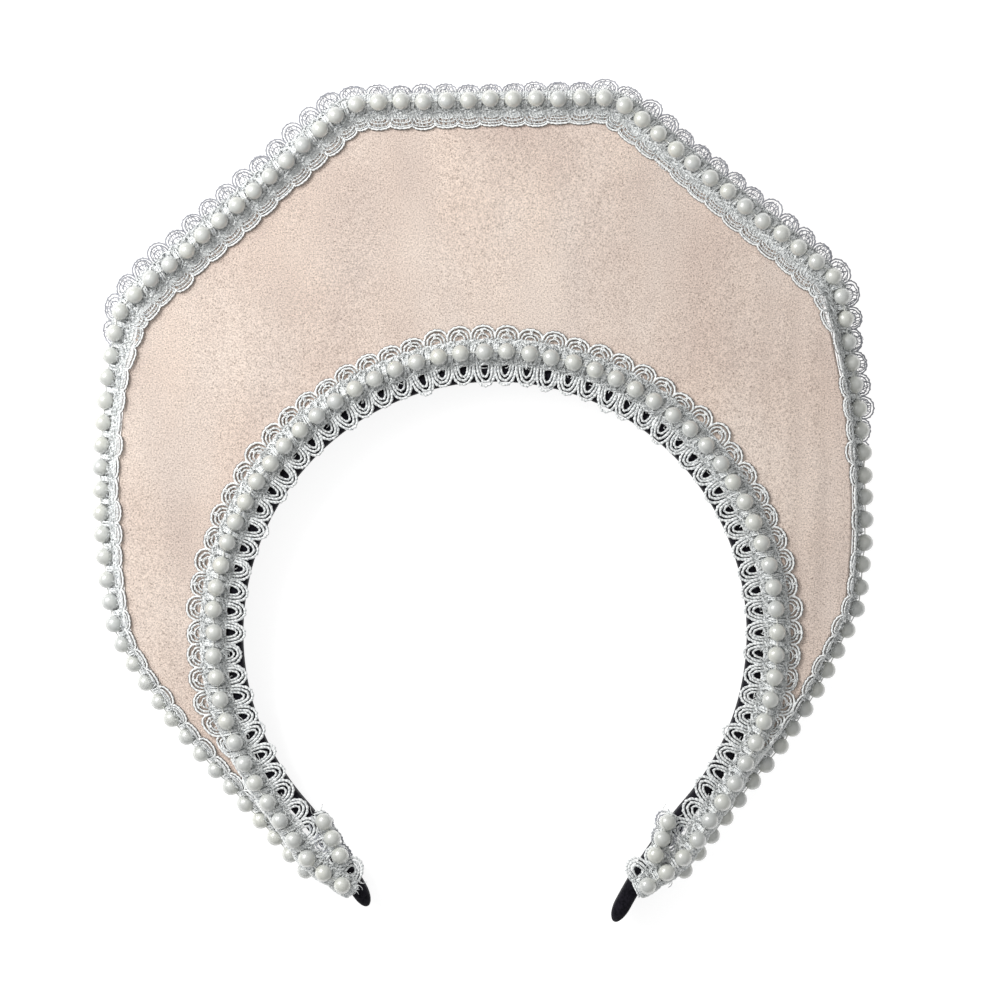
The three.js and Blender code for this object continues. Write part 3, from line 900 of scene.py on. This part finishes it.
def suede_material():
    """Pinkish-beige imitation suede: soft clouds, brushed streaks and a fine dark grain."""
    material, shader = new_material("suede", (0.66, 0.53, 0.46), 0.92)
    links = material.node_tree.links
    cloud = noise(material, 26, 4, 0.55, (1, 0.8, 1))
    base = ramp(material, cloud, [
        (0.36, (0.67, 0.55, 0.485)),
        (0.50, (0.745, 0.625, 0.55)),
        (0.66, (0.80, 0.69, 0.615)),
    ])
    streak = noise(material, 60, 3, 0.6, (1.0, 0.35, 1))
    streaks = ramp(material, streak, [(0.3, (0.93, 0.93, 0.94)), (0.7, (1.04, 1.03, 1.02))])
    colour = mix_colours(material, 1.0, base, streaks, "MULTIPLY")
    grain = noise(material, 2700, 3, 0.8)
    grains = ramp(material, grain, [
        (0.32, (0.26, 0.22, 0.20)),
        (0.41, (0.78, 0.76, 0.74)),
        (0.52, (1.0, 1.0, 1.0)),
        (0.62, (1.26, 1.26, 1.24)),
    ])
    colour = mix_colours(material, 1.0, colour, grains, "MULTIPLY")
    links.new(colour, shader.inputs["Base Color"])
    shader.inputs["Sheen Weight"].default_value = 0.25
    shader.inputs["Sheen Roughness"].default_value = 0.5
    shader.inputs["Sheen Tint"].default_value = (1.0, 0.93, 0.88, 1)
    shader.inputs["Specular IOR Level"].default_value = 0.15
    add_bump(material, shader, [(streak, 0.0006, 0.35), (grain, 0.00018, 0.7)])
    return material


def velvet_material():
    """Black velvet with a short dense pile."""
    material, shader = new_material("velvet", (0.010, 0.009, 0.013), 0.95)
    pile = noise(material, 1400, 3, 0.7)
    colour = ramp(material, pile, [(0.35, (0.004, 0.004, 0.006)), (0.75, (0.022, 0.020, 0.028))])
    material.node_tree.links.new(colour, shader.inputs["Base Color"])
    shader.inputs["Sheen Weight"].default_value = 0.12
    shader.inputs["Sheen Roughness"].default_value = 0.4
    shader.inputs["Specular IOR Level"].default_value = 0.1
    add_bump(material, shader, [(pile, 0.0003, 0.8)])
    return material


def thread_material():
    """Two-ply lustrous thread: pale stripes wind round it, with painted shade darker between the
    plies.

    What a thread's second coordinate has above 1 makes it greyer, then dark with painted shade.
    """
    material, shader = new_material("braid", (0.72, 0.76, 0.76), 0.5)
    links = material.node_tree.links
    marks = add_node(material, "ShaderNodeUVMap")
    split = add_node(material, "ShaderNodeSeparateXYZ")
    links.new(marks.outputs["UV"], split.inputs[0])
    along = add_math(material, "MULTIPLY", split.outputs["X"], 2 * math.pi / TWIST_PITCH)
    winding = add_math(material, "MULTIPLY", split.outputs["Y"], 2 * math.pi)
    twist = add_math(material, "SINE", add_math(material, "ADD", along, winding), 0.0)
    # Painted shade: the winding stripes darken the grooves between the plies.
    painted_ply_shade = ramp(material, add_math(material, "MULTIPLY_ADD", twist, 0.5, 0.5), [
        (0.05, (0.60, 0.62, 0.63)),
        (0.35, (0.90, 0.92, 0.91)),
        (0.75, (0.965, 0.98, 0.97)),
    ])
    tone = noise(material, 1400, 3, 0.6)
    tones = ramp(material, tone, [(0.33, (0.55, 0.57, 0.60)), (0.44, (1.0, 1.0, 1.0))])
    colour = mix_colours(material, 1.0, painted_ply_shade, tones, "MULTIPLY")
    # A greyer tint at 1.5, and painted shade at 2 for the dark threads of shadow beside the loops.
    greying_and_painted_shade = ramp(material, add_math(material, "SUBTRACT", split.outputs["Y"], 1.0), [
        (0.0, (1.0, 1.0, 1.0)),
        (0.5, (0.66, 0.65, 0.70)),
        (1.0, (0.16, 0.14, 0.13)),
    ])
    colour = mix_colours(material, 1.0, colour, greying_and_painted_shade, "MULTIPLY")
    links.new(colour, shader.inputs["Base Color"])
    shader.inputs["Sheen Weight"].default_value = 0.15
    return material


def pearl_material():
    """Off-white imitation pearl: a body that light enters, under a clear coat."""
    material, shader = new_material("pearl", (0.58, 0.585, 0.56), 0.5)
    tone = noise(material, 140, 1, 0.5)
    colour = ramp(material, tone, [(0.3, (0.58, 0.595, 0.58)), (0.7, (0.66, 0.665, 0.61))])
    material.node_tree.links.new(colour, shader.inputs["Base Color"])
    shader.inputs["Specular IOR Level"].default_value = 0.9
    shader.inputs["Subsurface Weight"].default_value = 0.35
    shader.inputs["Subsurface Radius"].default_value = (1.0, 1.0, 1.0)
    shader.inputs["Subsurface Scale"].default_value = 0.0015
    shader.inputs["Coat Weight"].default_value = 1.0
    shader.inputs["Coat Roughness"].default_value = 0.22
    shader.inputs["Coat IOR"].default_value = 1.8
    return material


def finish_piece(piece, material, node):
    """Gives a piece its finish, hangs it under the root and hides the solid it stands for."""
    piece.data.materials.append(material)
    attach(piece, "root")
    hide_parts(node)


# Camera, light and floor

# The photo's side in pixels, its pixels to a millimetre and the arch's centre down it.
PHOTO_SIDE = 990
PHOTO_SCALE = 3.92
PHOTO_ARCH = 634
CAMERA_HEIGHT = 2.6
FRAME_WIDTH = PHOTO_SIDE / PHOTO_SCALE
FRAME_CENTRE = (0.0, (PHOTO_ARCH - PHOTO_SIDE / 2) / PHOTO_SCALE)
WORLD_STRENGTH = 0.62
FLOOR_GLOW = 0.84

# Lights: place and size in metres, power in watts.
LIGHTS = {
    "key": ((-0.32, 0.30, 0.42), 0.10, 1.3),
    "fill": ((-0.50, 0.25, 0.48), 0.5, 3.0),
}


def add_camera():
    """Looks straight down on the crown's face, as the photo does."""
    camera = bpy.data.objects.new("camera", bpy.data.cameras.new("camera"))
    x, y = (ARCH + FRAME_CENTRE) * MM
    camera.location = (x, y, BAND_DEPTH * MM + CAMERA_HEIGHT)
    camera.data.sensor_fit = "HORIZONTAL"
    camera.data.lens = camera.data.sensor_width * CAMERA_HEIGHT / (FRAME_WIDTH * MM)
    bpy.context.scene.collection.objects.link(camera)
    bpy.context.scene.camera = camera


def add_light(name, place, size, power):
    light = bpy.data.lights.new(name, "AREA")
    light.size = size
    light.energy = power
    obj = bpy.data.objects.new(name, light)
    obj.location = place
    aim = np.array([0.0, 0.0, BAND_DEPTH * MM]) - np.array(place)
    obj.rotation_euler = Vector(aim).to_track_quat("-Z", "Y").to_euler()
    bpy.context.scene.collection.objects.link(obj)


def add_stage():
    """Adds the pale floor, the sky and the lights."""
    bpy.ops.mesh.primitive_plane_add(size=6, location=(0, 0, 0))
    floor = bpy.context.object
    floor.name = "floor"
    material, shader = new_material("floor", (0.4, 0.4, 0.4), 0.9)
    shader.inputs["Specular IOR Level"].default_value = 0.1
    shader.inputs["Emission Color"].default_value = (1, 1, 1, 1)
    shader.inputs["Emission Strength"].default_value = FLOOR_GLOW
    floor.data.materials.append(material)
    world = bpy.data.worlds.new("studio")
    world.use_nodes = True
    nodes, links = world.node_tree.nodes, world.node_tree.links
    background = nodes["Background"]
    background.inputs["Strength"].default_value = WORLD_STRENGTH
    coords = nodes.new("ShaderNodeTexCoord")
    split = nodes.new("ShaderNodeSeparateXYZ")
    sky = nodes.new("ShaderNodeValToRGB")
    sky.color_ramp.elements[0].color = (0.16, 0.165, 0.17, 1)
    sky.color_ramp.elements[1].color = (1.0, 1.0, 1.0, 1)
    links.new(coords.outputs["Generated"], split.inputs[0])
    links.new(split.outputs["Z"], sky.inputs["Fac"])
    links.new(sky.outputs["Color"], background.inputs["Color"])
    bpy.context.scene.world = world
    for name, values in LIGHTS.items():
        add_light(name, *values)
    bpy.context.scene.view_settings.view_transform = "Standard"


add_camera()
add_stage()

outer_row = Row(outer_line(), OUTER_TRIM, spread=OUTER_SPREAD)
inner_row = Row(inner_line(), FLAT_TRIM, spread=INNER_SPREAD)
suede, velvet = suede_material(), velvet_material()
thread, pearl = thread_material(), pearl_material()

finish_piece(make_band(), velvet, "headband")
finish_piece(make_panel(outer_row), suede, "crown_panel")
for name, row, inward, outward in (("outer", outer_row, SELVAGE, FINE_SCALLOP),
                                   ("inner", inner_row, OPEN_SCALLOP, CLOSED_SCALLOP)):
    middle = row.count // 2
    for word, first, last in (("left", 0, middle), ("right", middle, row.count)):
        lace = make_lace(f"{name}_lace_{word}", row, first, last, inward, outward)
        finish_piece(lace, thread, f"{name}_braid")
finish_piece(make_pearls("outer_pearl_string", outer_row), pearl, "outer_pearls")
finish_piece(make_pearls("inner_pearl_string", inner_row), pearl, "inner_pearls")
for word, side in (("left", -1), ("right", 1)):
    cuff = Row(cuff_line(word, side), CUFF_TRIM, CUFF_PEARLS)
    lace = make_lace(f"{word}_end_lace", cuff, 0, cuff.count, CUFF_SCALLOP, CUFF_SCALLOP)
    finish_piece(lace, thread, f"{word}_end_braid")
    string = make_pearls(f"{word}_end_pearl_string", cuff)
    finish_piece(string, pearl, f"{word}_end_pearls")
